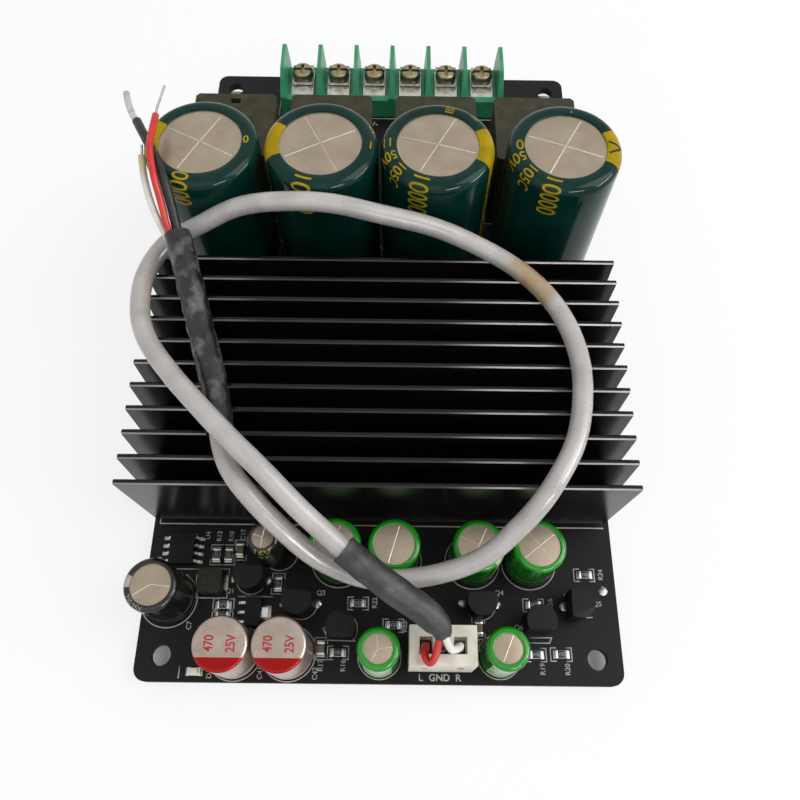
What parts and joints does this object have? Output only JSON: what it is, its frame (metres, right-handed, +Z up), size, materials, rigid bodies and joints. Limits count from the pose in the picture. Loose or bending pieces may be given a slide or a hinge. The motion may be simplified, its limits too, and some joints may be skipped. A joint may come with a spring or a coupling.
{
  "type": "audio amplifier board",
  "caption": "Audio power amplifier board: finned heatsink over the chip, filter capacitors, output inductors, a barrier terminal block and a plugged-in screened signal lead.",
  "frame": {"origin": "under the middle of the board, on the plane that the lead ends stand on", "axes": "+Z up from the soldered side to the parts; +Y along the board from the signal connector to the terminal block; +X across the board"},
  "size_m": [0.0801, 0.1272, 0.04],
  "materials": {
    "board": "black solder mask over woven laminate",
    "heatsink": "black anodised, fins cut bright at the tips",
    "pad": "grey thermal compound",
    "chip": "black moulding compound",
    "steel": "plated",
    "filter_can": "dark green printed sleeve over an aluminium can",
    "green_can": "bright green sleeve over an aluminium can",
    "black_can": "dark sleeve over an aluminium can",
    "bare_can": "bare can with a red marking",
    "ferrite": "fired ferrite, dull",
    "terminal": "moulded green plastic",
    "contact": "tin plated",
    "clamp": "nickel plated",
    "screw": "plated brass",
    "nylon": "natural nylon",
    "red_wire": "soft insulation",
    "white_wire": "soft insulation",
    "sleeve": "shrunk tubing, wrinkled",
    "cable": "grey soft sheath",
    "solder": "bright solder",
    "ceramic": "brown ceramic with tinned ends",
    "lens": "clear cream resin"
  },
  "bodies": {
    "board": {"pcb": "board", "heatsink": "heatsink", "thermal_pad": "pad", "amplifier_chip": "chip", "heatsink_screws": "steel", "filter_capacitor_1": "filter_can", "filter_capacitor_2": "filter_can", "filter_capacitor_3": "filter_can", "filter_capacitor_4": "filter_can", "output_inductor_1": "ferrite", "output_inductor_2": "ferrite", "output_inductor_3": "ferrite", "output_inductor_4": "ferrite", "terminal_block": "terminal", "terminal_contacts": "contact", "signal_header": "nylon", "header_pins": "contact", "polymer_capacitor_1": "bare_can", "polymer_capacitor_2": "bare_can", "supply_capacitor": "black_can", "coupling_capacitor_1": "green_can", "coupling_capacitor_2": "green_can", "coupling_capacitor_3": "green_can", "coupling_capacitor_4": "green_can", "bypass_capacitor_1": "green_can", "bypass_capacitor_2": "green_can", "timing_capacitor": "black_can", "preamp_chip": "chip", "voltage_regulator": "chip", "power_inductor": "chip", "transistors": "chip", "chip_resistors": "chip", "chip_capacitors": "ceramic", "status_led": "lens", "solder_joints": "solder"},
    "plug": {"signal_plug": "nylon", "plug_contacts": "contact", "plug_wire_red": "red_wire", "plug_wire_white": "white_wire", "plug_wire_screen": "sleeve", "plug_sleeve": "sleeve", "signal_cable": "cable", "tail_sleeve": "sleeve", "tail_wire_red": "red_wire", "tail_wire_white": "white_wire", "tail_wire_screen": "sleeve", "tinned_ends": "solder"},
    "wire_clamp_1": {"wire_clamp_1": "clamp"},
    "terminal_screw_1": {"terminal_screw_1": "screw"},
    "wire_clamp_2": {"wire_clamp_2": "clamp"},
    "terminal_screw_2": {"terminal_screw_2": "screw"},
    "wire_clamp_3": {"wire_clamp_3": "clamp"},
    "terminal_screw_3": {"terminal_screw_3": "screw"},
    "wire_clamp_4": {"wire_clamp_4": "clamp"},
    "terminal_screw_4": {"terminal_screw_4": "screw"},
    "wire_clamp_5": {"wire_clamp_5": "clamp"},
    "terminal_screw_5": {"terminal_screw_5": "screw"},
    "wire_clamp_6": {"wire_clamp_6": "clamp"},
    "terminal_screw_6": {"terminal_screw_6": "screw"}
  },
  "joints": [
    {"name": "plug_pull", "type": "slide", "parent": "board", "child": "plug", "axis": [0, 0, 1], "range_m": [0, 0.009]},
    {"name": "clamp_lift_1", "type": "slide", "parent": "board", "child": "wire_clamp_1", "axis": [0, 0, 1], "range_m": [0, 0.003]},
    {"name": "screw_turn_1", "type": "hinge", "parent": "wire_clamp_1", "child": "terminal_screw_1", "pos_m": [-0.01865, 0.0584, 0.009], "axis": [0, 0, 1], "range_deg": [0, 2160]},
    {"name": "clamp_lift_2", "type": "slide", "parent": "board", "child": "wire_clamp_2", "axis": [0, 0, 1], "range_m": [0, 0.003]},
    {"name": "screw_turn_2", "type": "hinge", "parent": "wire_clamp_2", "child": "terminal_screw_2", "pos_m": [-0.01103, 0.0584, 0.009], "axis": [0, 0, 1], "range_deg": [0, 2160]},
    {"name": "clamp_lift_3", "type": "slide", "parent": "board", "child": "wire_clamp_3", "axis": [0, 0, 1], "range_m": [0, 0.003]},
    {"name": "screw_turn_3", "type": "hinge", "parent": "wire_clamp_3", "child": "terminal_screw_3", "pos_m": [-0.00341, 0.0584, 0.009], "axis": [0, 0, 1], "range_deg": [0, 2160]},
    {"name": "clamp_lift_4", "type": "slide", "parent": "board", "child": "wire_clamp_4", "axis": [0, 0, 1], "range_m": [0, 0.003]},
    {"name": "screw_turn_4", "type": "hinge", "parent": "wire_clamp_4", "child": "terminal_screw_4", "pos_m": [0.00421, 0.0584, 0.009], "axis": [0, 0, 1], "range_deg": [0, 2160]},
    {"name": "clamp_lift_5", "type": "slide", "parent": "board", "child": "wire_clamp_5", "axis": [0, 0, 1], "range_m": [0, 0.003]},
    {"name": "screw_turn_5", "type": "hinge", "parent": "wire_clamp_5", "child": "terminal_screw_5", "pos_m": [0.01183, 0.0584, 0.009], "axis": [0, 0, 1], "range_deg": [0, 2160]},
    {"name": "clamp_lift_6", "type": "slide", "parent": "board", "child": "wire_clamp_6", "axis": [0, 0, 1], "range_m": [0, 0.003]},
    {"name": "screw_turn_6", "type": "hinge", "parent": "wire_clamp_6", "child": "terminal_screw_6", "pos_m": [0.01945, 0.0584, 0.009], "axis": [0, 0, 1], "range_deg": [0, 2160]}
  ],
  "couplings": [
    {"joint": "screw_turn_1", "follows": "clamp_lift_1", "rad_per_m": 12560},
    {"joint": "screw_turn_2", "follows": "clamp_lift_2", "rad_per_m": 12560},
    {"joint": "screw_turn_3", "follows": "clamp_lift_3", "rad_per_m": 12560},
    {"joint": "screw_turn_4", "follows": "clamp_lift_4", "rad_per_m": 12560},
    {"joint": "screw_turn_5", "follows": "clamp_lift_5", "rad_per_m": 12560},
    {"joint": "screw_turn_6", "follows": "clamp_lift_6", "rad_per_m": 12560}
  ]
}
